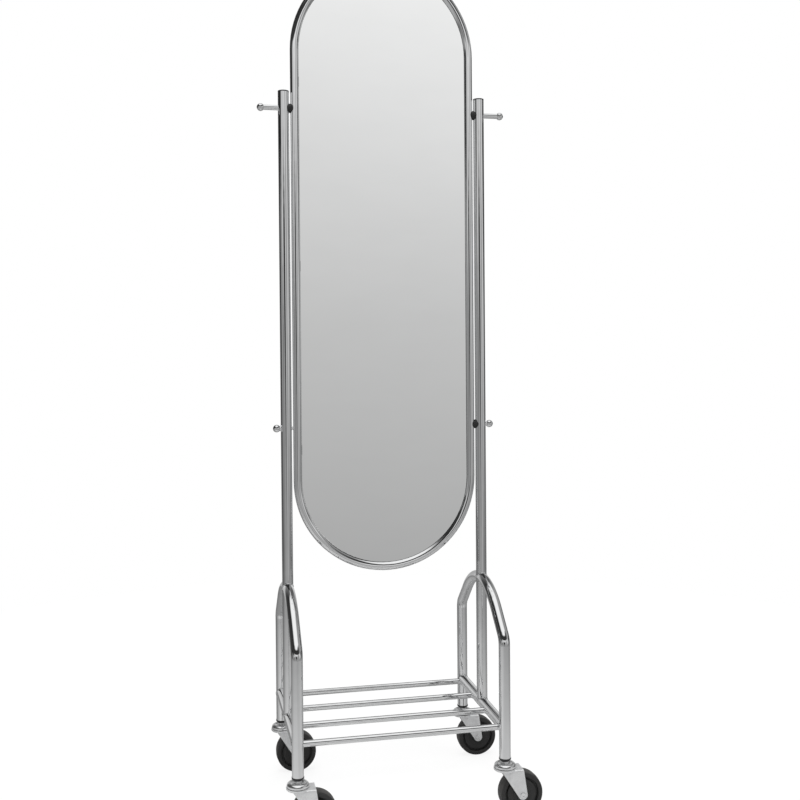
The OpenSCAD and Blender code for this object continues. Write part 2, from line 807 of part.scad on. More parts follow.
module axle_bush() {
    color(ZINC) on_axle() translate([0, 0, -fork_gap / 2]) difference() {
        cylinder(d = bush_d, h = fork_gap);
        translate([0, 0, -over]) cylinder(r = axle_d / 2 + pin_play, h = fork_gap + 2 * over);
    }
}

// A solid moulded disc with a raised hub and a groove inside its rim
module wheel_core() {
    seat_r = wheel_r - tyre_depth;
    groove_r = seat_r - groove_w;
    hub_half = fork_gap / 2 - hub_side_play;
    bore_r = bush_d / 2 + running_play;
    color(BLACK) on_axle() rotate_extrude() for (m = [0, 1]) mirror([0, m]) {
        translate([bore_r, 0]) square([seat_r - bore_r, disc_w / 2 - groove_depth]);
        polygon([[bore_r, 0], [groove_r + groove_slope, 0], [groove_r, disc_w / 2 - disc_edge],
            [groove_r - disc_edge, disc_w / 2], [bore_r, disc_w / 2]]);
        polygon([[bore_r, 0], [hub_d / 2 + hub_slope, 0], [hub_d / 2, hub_half - hub_edge],
            [hub_d / 2 - hub_edge, hub_half], [bore_r, hub_half]]);
    }
}

// The tyre's sides stand a little proud of the disc, and its tread is slightly crowned
module tyre() {
    seat_r = wheel_r - tyre_depth + tyre_play;
    half = tyre_w / 2;
    corner = tread_corner_r;
    shoulder_r = wheel_r - tread_crown - corner;
    color(BLACK) on_axle() rotate_extrude($fn = 96) for (m = [0, 1]) mirror([0, m]) {
        polygon([[seat_r, 0], [wheel_r, 0], [wheel_r - tread_crown, half - corner],
            [shoulder_r, half - corner], [shoulder_r, half], [seat_r + tyre_edge, half],
            [seat_r, half - tyre_edge]]);
        translate([shoulder_r, half - corner]) circle(r = corner, $fn = 48);
    }
}

// ---- the model ----

module side_part(part, side) {
    x = side * post_x;
    if (part == "side_loop") side_loop(x);
    if (part == "upper_post") upper_post(x);
    if (part == "inner_post") inner_post(x);
    if (part == "bottom_rail") bottom_rail(x);
    if (part == "hook_peg") hook_peg(side);
    if (part == "ball_screw") ball_screw(side);
}

module caster_part(part) {
    if (part == "bearing_balls") bearing_balls();
    if (part == "fork") fork();
    if (part == "axle_bolt") axle_bolt();
    if (part == "axle_nut") axle_nut();
    if (part == "axle_bush") axle_bush();
    if (part == "wheel_core") wheel_core();
    if (part == "tyre") tyre();
}

post_end_plugs();
mirror_ring();
mirror_glass();
bond_tapes();
backing_panel();
backing_tabs();
panel_screws();
ring_bosses();
mirror_spacers();
peg_washers();
leg_sockets();
caster_stems();
raceway_caps();
for (i = [0 : rod_count - 1])
    shelf_rod(i);
for (side = SIDES, part = SIDE_PARTS)
    side_part(part, side[1]);
for (corner = CORNERS, part = CASTER_PARTS)
    translate([corner[1], corner[2], 0]) caster_part(part);
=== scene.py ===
"""Rolling floor mirror: its finishes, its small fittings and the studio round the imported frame.

Every length is in metres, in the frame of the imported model: X runs to the right across the
glass, Y from the glass to its back, Z up, and the origin is on the floor between the wheels.
"""

import json
import logging
import math
from dataclasses import dataclass, replace
from enum import Enum
from functools import cache, partial
from typing import Callable

import bmesh
import bpy
from mathutils import Matrix, Vector

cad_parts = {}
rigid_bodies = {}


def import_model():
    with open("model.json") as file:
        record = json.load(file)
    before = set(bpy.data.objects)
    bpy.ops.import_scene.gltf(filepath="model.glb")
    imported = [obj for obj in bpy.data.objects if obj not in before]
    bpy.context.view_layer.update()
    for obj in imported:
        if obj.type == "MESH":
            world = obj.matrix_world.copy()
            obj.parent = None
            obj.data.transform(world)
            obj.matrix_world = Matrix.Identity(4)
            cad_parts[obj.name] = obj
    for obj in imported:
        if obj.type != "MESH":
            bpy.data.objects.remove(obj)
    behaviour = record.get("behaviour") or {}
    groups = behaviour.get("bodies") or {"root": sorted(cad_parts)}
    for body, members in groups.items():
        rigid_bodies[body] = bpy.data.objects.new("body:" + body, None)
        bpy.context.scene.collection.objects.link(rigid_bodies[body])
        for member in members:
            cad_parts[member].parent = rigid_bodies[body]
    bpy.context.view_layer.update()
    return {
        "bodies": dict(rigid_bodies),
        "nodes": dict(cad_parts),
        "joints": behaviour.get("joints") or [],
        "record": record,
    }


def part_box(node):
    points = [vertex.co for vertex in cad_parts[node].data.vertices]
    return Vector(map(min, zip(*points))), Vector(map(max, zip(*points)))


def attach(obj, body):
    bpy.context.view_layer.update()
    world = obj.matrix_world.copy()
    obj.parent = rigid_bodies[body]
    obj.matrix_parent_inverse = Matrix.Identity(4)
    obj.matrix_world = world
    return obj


LOG = logging.getLogger("rolling_mirror")
MM = 0.001
FULL_TURN = 2 * math.pi

Socket = bpy.types.NodeSocket
Colour = tuple[float, float, float]
Point = tuple[float, float, float]
Stop = tuple[float, float]
Station = tuple[Vector, Vector]
Value = Socket | Vector | Colour | float

WHITE: Colour = (1.0, 1.0, 1.0)
WHOLE: Stop = (0.0, 1.0)
MOST: Stop = (0.3, 0.7)  # nearly all of a soft noise lies in this range


class Slot(Enum):
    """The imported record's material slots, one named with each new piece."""

    CHROME = "chrome_tube"
    ZINC = "zinc_steel"
    WHEEL = "wheel_plastic"
    TYRE = "wheel_tyre"


class Edge(Enum):
    """How a swept strand begins and ends."""

    CLOSED = "runs back into its own start"
    TAPERED = "thins out to a point at both ends"


# ---------- shader building


class Nodes:
    """A node tree under construction, whose methods add nodes and hand back their outputs."""

    def __init__(self, tree: bpy.types.NodeTree) -> None:
        """Takes over a tree and empties it.

        Args:
            tree: The tree of a material or a world.
        """
        self.tree = tree
        tree.nodes.clear()

    def add(self, kind: str, inputs: dict[str | int, Value] | None = None) -> bpy.types.Node:
        """Adds a node.

        Args:
            kind: Its type, without the word that the types of all shader nodes begin with.
            inputs: What goes into its inputs, by name or number.

        Returns:
            The node.
        """
        return self.fill(self.tree.nodes.new(f"ShaderNode{kind}"), inputs or {})

    def fill(self, node: bpy.types.Node, inputs: dict[str | int, Value]) -> bpy.types.Node:
        """Joins inputs of a node to outputs of others, or sets them to plain values.

        Args:
            node: The node.
            inputs: What goes into its inputs, by name or number.

        Returns:
            The same node.
        """
        for name, value in inputs.items():
            target = node.inputs[name]
            if isinstance(value, Socket):
                self.tree.links.new(value, target)
            elif target.type == "RGBA":
                target.default_value = (*value, 1.0)
            else:
                target.default_value = value
        return node

    def span(self, value: Socket, source: Stop, target: Stop = WHOLE) -> Socket:
        """Maps a value from one range to another and clamps it.

        Args:
            value: The value.
            source: Its lowest and highest figure.
            target: What those become.

        Returns:
            The mapped value.
        """
        node = self.add("MapRange", {"Value": value, "From Min": source[0], "From Max": source[1],
                                     "To Min": target[0], "To Max": target[1]})
        return node.outputs["Result"]

    def figure(self, operation: str, first: Socket, second: Socket | float = 0.0) -> Socket:
        """Does a sum on one or two values.

        Args:
            operation: The sum, in the words of Blender's math node.
            first: First value.
            second: Second value, as a socket or a number.

        Returns:
            The result.
        """
        node = self.add("Math")
        node.operation = operation
        return self.fill(node, {0: first, 1: second}).outputs[0]

    def vector(self, operation: str, first: Socket, second: Value = (0.0, 0.0, 0.0),
               result: str = "Vector") -> Socket:
        """Does a sum on one or two vectors.

        Args:
            operation: The sum, in the words of Blender's vector math node.
            first: First vector.
            second: Second vector.
            result: Which output to give.

        Returns:
            The result.
        """
        node = self.add("VectorMath")
        node.operation = operation
        return self.fill(node, {0: first, 1: second}).outputs[result]

    def tones(self, share: Socket, low: Socket | Colour, high: Socket | Colour) -> Socket:
        """Blends two colours.

        Args:
            share: 0 for the low colour, 1 for the high one.
            low: First colour.
            high: Second colour.

        Returns:
            The blended colour.
        """
        node = self.add("Mix")
        node.data_type = "RGBA"
        return self.fill(node, {0: share, 6: low, 7: high}).outputs[2]

    def layers(self, share: Socket, under: Socket, over: Socket) -> Socket:
        """Blends two shaders, with the share that the second one gets."""
        return self.add("MixShader", {0: share, 1: under, 2: over}).outputs[0]

    def ramp(self, share: Socket, stops: list[Stop]) -> Socket:
        """Looks up a grey tone on a scale.

        Args:
            share: The place to look up, from 0 to 1.
            stops: Places on the scale and the tone at each.

        Returns:
            The tone there.
        """
        node = self.add("ValToRGB", {"Fac": share})
        elements = node.color_ramp.elements
        while len(elements) < len(stops):
            elements.new(0.5)
        while len(elements) > len(stops):
            elements.remove(elements[-1])
        for element, (place, tone) in zip(elements, stops):
            element.position = place
            element.color = (tone, tone, tone, 1.0)
        return node.outputs["Color"]

    def compass(self, place: Socket) -> Socket:
        """Finds the compass bearing of a point or direction, from the front towards the right.

        Args:
            place: The point or direction.

        Returns:
            The bearing, as 0 to 1 for -180 to 180 degrees.
        """
        parts = self.add("SeparateXYZ", {0: place}).outputs
        front = self.figure("MULTIPLY", parts["Y"], -1.0)
        return self.span(self.figure("ARCTAN2", parts["X"], front), (-math.pi, math.pi))

    def all_round(self, compass: Socket, stops: tuple[Stop, ...]) -> Socket:
        """Looks up a grey tone by compass bearing, from stops at bearings in degrees."""
        return self.ramp(compass, [((bearing + 180) / 360, tone) for bearing, tone in stops])


class Graph(Nodes):
    """A material under construction, with one principled shader."""

    def __init__(self, name: str) -> None:
        """Starts the material.

        Args:
            name: Its name.
        """
        self.material = bpy.data.materials.new(name)
        self.material.use_nodes = True
        super().__init__(self.material.node_tree)
        self.shader = self.add("BsdfPrincipled")
        self.output = self.add("OutputMaterial", {"Surface": self.shader.outputs["BSDF"]})
        self.place = self.add("TexCoord").outputs["Object"]

    def coat(self, colour: Value, roughness: Value, normal: Socket) -> None:
        """Gives the shader its looks.

        Args:
            colour: Its base colour.
            roughness: Its roughness.
            normal: Its bumped normal.
        """
        self.fill(self.shader, {"Base Color": colour, "Roughness": roughness, "Normal": normal})

    def stretched(self, along_z: float) -> Socket:
        """Gives the object's coordinates with their height times a factor."""
        node = self.add("Mapping", {"Vector": self.place, "Scale": (1.0, 1.0, along_z)})
        return node.outputs["Vector"]

    def noise(self, scale: float, detail: float = 2.0, place: Socket | None = None) -> Socket:
        """Adds soft noise.

        Args:
            scale: Features per metre.
            detail: Number of finer layers.
            place: Coordinates to use instead of the object's.

        Returns:
            The noise, about 0.5 on average.
        """
        node = self.add("TexNoise", {"Vector": place or self.place, "Scale": scale,
                                     "Detail": detail})
        return node.outputs["Fac"]

    def cells(self, scale: float) -> Socket:
        """Adds a field of cells, and gives the distance from each cell's centre."""
        return self.add("TexVoronoi", {"Vector": self.place, "Scale": scale}).outputs["Distance"]

    def relief(self, height: Socket, depth: float, under: Socket | None = None) -> Socket:
        """Turns a height into bumps.

        Args:
            height: The height, from 0 to 1.
            depth: How deep the bumps are, in metres.
            under: Bumps that these lie on.

        Returns:
            The bumped normal.
        """
        node = self.add("Bump", {"Height": height, "Distance": depth})
        if under is not None:
            self.fill(node, {"Normal": under})
        return node.outputs["Normal"]

    def radius_from(self, centre: Point) -> Socket:
        """Gives the distance from the line along Y through a point."""
        flat = self.vector("MULTIPLY", self.vector("SUBTRACT", self.place, centre), (1.0, 0.0, 1.0))
        return self.vector("LENGTH", flat, result="Value")


# ---------- finishes


@dataclass(frozen=True)
class Finish:
    """A finish that is the same in kind all over, with a tone and a gloss that wander a little."""

    name: str
    colour: Colour
    metallic: float = 0.0
    gloss: Stop = (0.4, 0.5)
    tone_drift: float = 0.06
    drift_scale: float = 25.0
    grain_scale: float = 1800.0
    grain_depth: float = 0.00002

    @cache
    def material(self) -> bpy.types.Material:
        """Builds the material, once for each finish.

        Returns:
            The finished material.
        """
        graph = Graph(self.name)
        graph.fill(graph.shader, {"Metallic": self.metallic})
        self.dress(graph)
        return graph.material

    def shade(self, factor: float) -> Colour:
        """Gives the finish's colour times a factor."""
        return tuple(min(1.0, channel * factor) for channel in self.colour)

    def dress(self, graph: Graph) -> None:
        """Adds tone, gloss and grain to a new material.

        Args:
            graph: The material under construction.
        """
        drift = graph.noise(self.drift_scale, detail=4.0)
        graph.coat(graph.tones(graph.span(drift, MOST), self.shade(1 - self.tone_drift),
                               self.shade(1 + self.tone_drift)),
                   graph.span(drift, MOST, self.gloss),
                   graph.relief(graph.noise(self.grain_scale), self.grain_depth))


@dataclass(frozen=True)
class ChromePlate(Finish):
    """Bright chrome on tube: a mirror finish that ripples faintly, with upright buffing haze."""

    drift_span: Stop = (0.35, 0.65)
    ripple_scale: float = 34.0
    ripple_depth: float = 0.00016
    haze_scale: float = 300.0
    haze_stretch: float = 0.12
    haze_span: Stop = (0.35, 0.75)

    def dress(self, graph: Graph) -> None:
        """Adds ripple, haze and tone to a new material.

        Args:
            graph: The material under construction.
        """
        haze = graph.noise(self.haze_scale, 5.0, graph.stretched(self.haze_stretch))
        drift = graph.noise(self.drift_scale, detail=3.0)
        ripple = graph.relief(graph.noise(self.ripple_scale, detail=1.0), self.ripple_depth)
        grain = graph.noise(self.grain_scale, detail=1.0)
        graph.coat(graph.tones(graph.span(drift, self.drift_span), self.shade(1 - self.tone_drift),
                               self.colour),
                   graph.span(haze, self.haze_span, self.gloss),
                   graph.relief(grain, self.grain_depth, ripple))


@dataclass(frozen=True)
class SilveredGlass(Finish):
    """Float glass with silver behind it: flat, clear, a trace of haze where it was wiped."""

    wipe_scale: float = 9.0
    wipe_stretch: float = 2.6
    wipe_span: Stop = (0.45, 0.8)
    dim_span: Stop = (0.4, 0.7)
    wave_scale: float = 3.0

    def dress(self, graph: Graph) -> None:
        """Adds wiping haze and the slow waves of float glass to a new material.

        Args:
            graph: The material under construction.
        """
        wipes = graph.noise(self.wipe_scale, 6.0, graph.stretched(self.wipe_stretch))
        graph.coat(graph.tones(graph.span(wipes, self.dim_span, (1.0, 0.0)),
                               self.shade(1 - self.tone_drift), self.colour),
                   graph.span(wipes, self.wipe_span, self.gloss),
                   graph.relief(graph.noise(self.wave_scale, detail=1.0), self.grain_depth))


@dataclass(frozen=True)
class ZincPlate(Finish):
    """Bright zinc on pressed steel: satin, with a fine frosty speckle and soft clouds."""

    speckle_scale: float = 620.0
    speckle: float = 0.16
    cell_reach: float = 0.9
    frost_span: Stop = (0.2, 0.8)

    def dress(self, graph: Graph) -> None:
        """Adds speckle, clouds and a fine grain to a new material.

        Args:
            graph: The material under construction.
        """
        half = (0.0, 0.5)
        clouds = graph.span(graph.noise(self.drift_scale, detail=5.0), MOST, half)
        speckle = graph.span(graph.cells(self.speckle_scale), (0.0, self.cell_reach), half)
        frost = graph.figure("ADD", speckle, clouds)
        graph.coat(graph.tones(frost, self.shade(1 - self.speckle), self.shade(1 + self.speckle)),
                   graph.span(frost, self.frost_span, self.gloss),
                   graph.relief(frost, self.grain_depth))


@dataclass(frozen=True)
class TurnedMoulding(Finish):
    """A moulded wheel part: fine rings round its axle, and dust where it meets the floor."""

    axle: Point = (0.0, 0.0, 0.0)
    ring_pitch: float = 0.0011
    ring_depth: float = 0.00003
    dust_reach: Stop = (0.0395, 0.0424)
    dust_span: Stop = (0.35, 0.7)
    dust_share: Stop = (0.05, 0.8)
    dust: Colour = (0.11, 0.105, 0.10)

    def dress(self, graph: Graph) -> None:
        """Adds rings, dust and a matt grain to a new material.

        Args:
            graph: The material under construction.
        """
        radius = graph.radius_from(self.axle)
        rings = graph.figure("SINE", graph.figure("MULTIPLY", radius, FULL_TURN / self.ring_pitch))
        turned = graph.relief(rings, self.ring_depth)
        worn = graph.noise(self.drift_scale, detail=5.0)
        dusty = graph.figure("MULTIPLY", graph.span(radius, self.dust_reach),
                             graph.span(worn, self.dust_span, self.dust_share))
        graph.coat(graph.tones(dusty, self.colour, self.dust),
                   graph.span(worn, MOST, self.gloss),
                   graph.relief(graph.noise(self.grain_scale), self.grain_depth, turned))


@dataclass(frozen=True)
class FoamTape(Finish):
    """Closed-cell foam, seen only at the tapes' cut edges."""

    pore_scale: float = 1500.0
    pore_shade: float = 0.5
    pore_span: Stop = (0.1, 0.6)
    pore_reach: float = 0.8

    def dress(self, graph: Graph) -> None:
        """Adds pores to a new material.

        Args:
            graph: The material under construction.
        """
        pores = graph.cells(self.pore_scale)
        graph.coat(graph.tones(graph.span(pores, self.pore_span), self.shade(self.pore_shade),
                               self.colour),
                   graph.span(pores, (0.0, self.pore_reach), self.gloss),
                   graph.relief(pores, self.grain_depth))


CHROME = ChromePlate("bright_chrome", (0.88, 0.885, 0.89), metallic=1.0, gloss=(0.012, 0.05),
                     tone_drift=0.04, drift_scale=18.0, grain_scale=2400.0, grain_depth=0.0000015)
ROD_CHROME = replace(CHROME, name="drawn_rod_chrome", ripple_depth=0.00003)
MIRROR = SilveredGlass("silvered_glass", (0.925, 0.93, 0.928), metallic=1.0, gloss=(0.004, 0.02),
                       tone_drift=0.012, grain_depth=0.00002)
ZINC = ZincPlate("satin_zinc", (0.86, 0.865, 0.87), metallic=0.6, gloss=(0.30, 0.44),
                 drift_scale=60.0, speckle=0.14, grain_depth=0.00004)
PRESSED = ZincPlate("bright_pressed_steel", (0.90, 0.905, 0.91), metallic=0.94, gloss=(0.09, 0.17),
                    drift_scale=90.0, speckle=0.06, grain_depth=0.000005)
BRIGHT = Finish("ground_steel", (0.76, 0.76, 0.765), metallic=1.0, gloss=(0.10, 0.18),
                tone_drift=0.05, grain_depth=0.00001)
PLASTIC = Finish("black_moulding", (0.021, 0.021, 0.022), gloss=(0.34, 0.46), tone_drift=0.2,
                 grain_depth=0.00003)
RUBBER = Finish("black_rubber", (0.018, 0.018, 0.018), gloss=(0.5, 0.64), tone_drift=0.25,
                grain_scale=1300.0, grain_depth=0.00005)
FOAM = FoamTape("foam_tape", (0.07, 0.07, 0.07), gloss=(0.7, 0.85), grain_depth=0.0001)
BOARD = Finish("grey_coated_sheet", (0.20, 0.203, 0.21), gloss=(0.34, 0.55), tone_drift=0.12,
               drift_scale=6.0, grain_scale=420.0, grain_depth=0.00012)
DISC = TurnedMoulding("wheel_moulding", (0.024, 0.0236, 0.0232), gloss=(0.36, 0.48),
                      drift_scale=45.0, dust_reach=(0.0335, 0.036), grain_depth=0.00002)
TYRE = TurnedMoulding("tyre_rubber", (0.030, 0.0292, 0.0288), gloss=(0.46, 0.6),
                      drift_scale=30.0, ring_pitch=0.0008, grain_depth=0.00004)


# ---------- mesh building


def angles(count: int) -> list[float]:
    """Divides a full turn into equal steps."""
    return [FULL_TURN * step / count for step in range(count)]


class Workpiece:
    """A mesh under construction, whose methods add strands, threads and domes to it."""

    def __init__(self) -> None:
        """Starts an empty mesh."""
        self.mesh = bmesh.new()

    def ring(self, centre: Vector, first: Vector, second: Vector,
             sides: int) -> list[bmesh.types.BMVert]:
        """Adds a ring of points.

        Args:
            centre: Its centre.
            first: From the centre to its first point.
            second: From the centre to where it is a quarter of the way round.
            sides: Number of points.

        Returns:
            The points.
        """
        return [self.mesh.verts.new(centre + first * math.cos(turn) + second * math.sin(turn))
                for turn in angles(sides)]

    def skin(self, rings: list[list[bmesh.types.BMVert]]) -> None:
        """Spans faces from each ring of points to the next.

        Args:
            rings: The rings in order, all with as many points.
        """
        for here, there in zip(rings, rings[1:]):
            for side, point in enumerate(here):
                beside = (side + 1) % len(here)
                self.mesh.faces.new((point, here[beside], there[beside], there[side]))

    def strand(self, stations: list[Station], thickness: float, edge: Edge,
               swell: Callable[[float], float] = lambda share: 1.0, sides: int = 8) -> None:
        """Sweeps a round strand along a list of stations.

        Args:
            stations: Points of the centre line, each with the direction that faces outwards there.
            thickness: Radius of the strand.
            edge: Whether the strand closes on itself or tapers at its ends.
            swell: Factor on the thickness for a share of the way from 0 to 1.
            sides: Number of sides of its section.
        """
        tip, bluntness = 0.05, 0.3
        closed = edge is Edge.CLOSED
        points = [point for point, outward in stations]
        if closed:
            line = [points[-1], *points, points[0]]
        else:
            line = [points[0], *points, points[-1]]
        steps = len(points) if closed else len(points) - 1
        rings = []
        for index, (point, outward) in enumerate(stations):
            along = (line[index + 2] - line[index]).normalized()
            up = (outward - along * outward.dot(along)).normalized()
            share = index / steps
            radius = thickness * swell(share)
            if not closed:
                radius *= max(tip, math.sin(math.pi * share) ** bluntness)
            rings.append(self.ring(point, up * radius, along.cross(up) * radius, sides))
        if closed:
            self.skin([*rings, rings[0]])
        else:
            self.skin(rings)
            self.mesh.faces.new(rings[0])
            self.mesh.faces.new(rings[-1])

    def thread(self, start: Vector, end: Vector, radius: float, pitch: float,
               depth: float) -> None:
        """Winds a thread's ridge round a straight pin.

        Args:
            start: Where the thread begins, on the pin's centre line.
            end: Where it ends.
            radius: The pin's radius.
            pitch: Distance from turn to turn.
            depth: Half the ridge's width.
        """
        along = (end - start).normalized()
        up = along.orthogonal().normalized()
        across = along.cross(up)
        length = (end - start).length
        steps_a_turn = 32
        steps = int(steps_a_turn * length / pitch)
        stations = []
        for step in range(steps + 1):
            reach = length * step / steps
            turn = FULL_TURN * reach / pitch
            outward = up * math.cos(turn) + across * math.sin(turn)
            stations.append((start + along * reach + outward * radius, outward))
        self.strand(stations, depth, Edge.TAPERED, sides=6)

    def dome(self, centre: Vector, outward: Vector, length: Vector, width: float,
             height: float) -> None:
        """Raises a low oval dome on a surface, like one pressed through sheet from behind.

        Args:
            centre: Its middle, on the surface.
            outward: The surface's normal there.
            length: Half its longer axis.
            width: Half its width.
            height: How far it stands out.
        """
        sides, rows = 24, 6
        across = outward.cross(length).normalized() * width
        rings = []
        for row in range(rows):
            lean = math.pi / 2 * row / rows
            reach = math.cos(lean)
            rings.append(self.ring(centre + outward * (height * math.sin(lean)),
                                   length * reach, across * reach, sides))
        top = self.mesh.verts.new(centre + outward * height)
        self.skin(rings)
        for side, point in enumerate(rings[-1]):
            self.mesh.faces.new((point, rings[-1][(side + 1) % sides], top))
        self.mesh.faces.new(rings[0][::-1])

    def finished(self, name: str) -> bpy.types.Object:
        """Turns the mesh into an object of the scene.

        Args:
            name: The object's name.

        Returns:
            The new object, with smooth faces.
        """
        bmesh.ops.recalc_face_normals(self.mesh, faces=self.mesh.faces)
        mesh = bpy.data.meshes.new(name)
        self.mesh.to_mesh(mesh)
        self.mesh.free()
        for face in mesh.polygons:
            face.use_smooth = True
        piece = bpy.data.objects.new(name, mesh)
        bpy.context.scene.collection.objects.link(piece)
        return piece


# ---------- the object


@dataclass
class Corner:
    """One caster's place."""

    name: str
    x: float
    y: float

    @property
    def swivel(self) -> str:
        """Name of the body that swivels."""
        return f"{self.name}_swivel"

    @property
    def wheel(self) -> str:
        """Name of the body that rolls."""
        return f"{self.name}_wheel"


class PackedFrame:
    """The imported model, whose nodes the sub-assemblies dress and to which they add pieces."""

    def __init__(self, frame: dict) -> None:
        """Keeps the nodes and finds the casters' places.
        """
        ending = "_swivel_turn"
        self.nodes = frame["nodes"]
        self.corners = [Corner(joint["name"].removesuffix(ending), *joint["pos_m"][:2])
                        for joint in frame["joints"] if joint["name"].endswith(ending)]

    def dress(self, finish: Finish, *names: str) -> None:
        """Gives nodes a finish.

        Args:
            finish: Their new finish.
            *names: The nodes.
        """
        for name in names:
            for place in self.nodes[name].material_slots:
                place.material = finish.material()
            LOG.info("dressed %s as %s", name, finish.name)

    def place(self, piece: bpy.types.Object, body: str, slot: Slot, finish: Finish) -> None:
        """Dresses a new piece and lets it ride on a body.

        Args:
            piece: The piece.
            body: The body's name.
            slot: Not used.
            finish: Its finish.
        """
        piece.data.materials.append(finish.material())
        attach(piece, body)
        LOG.info("added %s on %s as %s", piece.name, body, finish.name)


@dataclass(frozen=True)
class WeldBead:
    """A bead of weld, which ripples along its length."""

    radius: float
    ripples: int
    ripple_height: float
    steps: int

    def lay(self, welds: Workpiece, stations: list[Station], edge: Edge) -> None:
        """Lays the bead along a line.

        Args:
            welds: The mesh that it joins.
            stations: Points of the line, each with the direction that faces outwards there.
            edge: Whether the bead closes on itself or tapers at its ends.
        """
        welds.strand(stations, self.radius, edge, lambda share: (
            1 + self.ripple_height * math.sin(FULL_TURN * self.ripples * share)))


@dataclass
class SideFrame:
    """The seams along which the tubes of one side are welded.

    post_x is the place of the side's tubes along X, and leg_y that of its rear leg along Y.
    rail_z is the height of the rail's centre line, and top_z that of the loop's top.
    """

    post_x: float
    leg_y: float
    rail_z: float
    top_z: float
    tube_radius: float = 11 * MM
    bend_radius: float = 150 * MM
    rod_radius: float = 6 * MM
    rod_drop: float = 2 * MM
    softening: float = 0.03

    def seams(self, rods_y: list[float]) -> list[Callable[[float], Station]]:
        """Lists the seams.

        Args:
            rods_y: Places of the shelf rods along Y.

        Returns:
            For each seam what gives its point and outward direction for an angle.
        """
        return [partial(self.on_bend, 1), partial(self.on_bend, -1), self.on_rail,
                partial(self.on_leg, 1), partial(self.on_leg, -1),
                *(partial(self.on_rod, rod_y) for rod_y in rods_y)]

    def rim(self, turn: float) -> tuple[float, float]:
        """Gives the two offsets of a tube's rim from its centre line at an angle round it."""
        return self.tube_radius * math.cos(turn), self.tube_radius * math.sin(turn)

    def saddle(self, turn: float) -> float:
        """Tells how far a tube's flank rises at an angle round a tube of its own size."""
        return self.tube_radius * math.sqrt(math.sin(turn) ** 2 + self.softening)

    def on_bend(self, side: int, turn: float) -> Station:
        """Finds a point where a post meets the top bend.

        Args:
            side: 1 above the bend and -1 below it.
            turn: Angle round the post.

        Returns:
            The point and the direction that faces outwards.
        """
        x, y = self.rim(turn)
        bend_z = self.top_z - self.tube_radius - self.bend_radius
        height = math.sqrt((self.bend_radius + side * self.saddle(turn)) ** 2 - y ** 2)
        return (Vector((self.post_x + x, y, bend_z + height)),
                Vector((x, y, side * self.tube_radius)))

    def on_rail(self, turn: float) -> Station:
        """Finds a point where the inner post stands on the rail.

        Args:
            turn: Angle round the post.

        Returns:
            The point and the direction that faces outwards.
        """
        x, y = self.rim(turn)
        return (Vector((self.post_x + x, y, self.rail_z + self.saddle(turn))),
                Vector((x, y, self.tube_radius)))

    def on_leg(self, end: int, turn: float) -> Station:
        """Finds a point where the rail's end meets a leg.

        Args:
            end: 1 at the rear leg and -1 at the front one.
            turn: Angle round the rail.

        Returns:
            The point and the direction that faces outwards.
        """
        x, z = self.rim(turn)
        return (Vector((self.post_x + x, end * (self.leg_y - self.saddle(turn)), self.rail_z + z)),
                Vector((x, -end * self.tube_radius, z)))

    def on_rod(self, rod_y: float, turn: float) -> Station:
        """Finds a point where a shelf rod meets the rail, or the leg beside it.

        Args:
            rod_y: The rod's place along Y.
            turn: Angle round the rod.

        Returns:
            The point and the direction that faces outwards.
        """
        inward = -math.copysign(1.0, self.post_x)
        y = rod_y + self.rod_radius * math.cos(turn)
        rise = self.rod_radius * math.sin(turn)
        on_rail = math.sqrt(self.tube_radius ** 2 - (rise - self.rod_drop) ** 2)
        on_leg = math.sqrt(max(0.0, self.tube_radius ** 2 - (abs(y) - self.leg_y) ** 2))
        return (Vector((self.post_x + inward * max(on_rail, on_leg), y,
                        self.rail_z - self.rod_drop + rise)),
                Vector((inward * self.rod_radius, y - rod_y, rise)))


@dataclass
class Tubework:
    """The posts, loops, rails and rods, and the weld beads that join them."""

    bead: WeldBead = WeldBead(1.15 * MM, ripples=26, ripple_height=0.10, steps=96)

    def build(self, frame: PackedFrame) -> None:
        """Dresses the tubes and adds every weld.

        Args:
            frame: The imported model.
        """
        rods = [f"{row}_shelf_rod" for row in ("front", "front_middle", "rear_middle", "rear")]
        frame.dress(ROD_CHROME, *rods)
        rods_y = [self.middle(rod).y for rod in rods]
        leg_x = abs(frame.corners[0].x)
        leg_y = max(corner.y for corner in frame.corners)
        for side, sign in (("left", -1), ("right", 1)):
            parts = ("side_loop", "upper_post", "inner_post", "bottom_rail")
            frame.dress(CHROME, *(f"{side}_{part}" for part in parts))
            tubes = SideFrame(sign * leg_x, leg_y, self.middle(f"{side}_bottom_rail").z,
                              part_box(f"{side}_side_loop")[1].z)
            welds = Workpiece()
            for point_at in tubes.seams(rods_y):
                stations = [point_at(turn) for turn in angles(self.bead.steps)]
                self.bead.lay(welds, stations, Edge.CLOSED)
            frame.place(welds.finished(f"{side}_frame_welds"), "frame", Slot.CHROME, CHROME)

    def middle(self, node: str) -> Vector:
        """Finds the middle of a node's box."""
        low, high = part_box(node)
        return (low + high) / 2


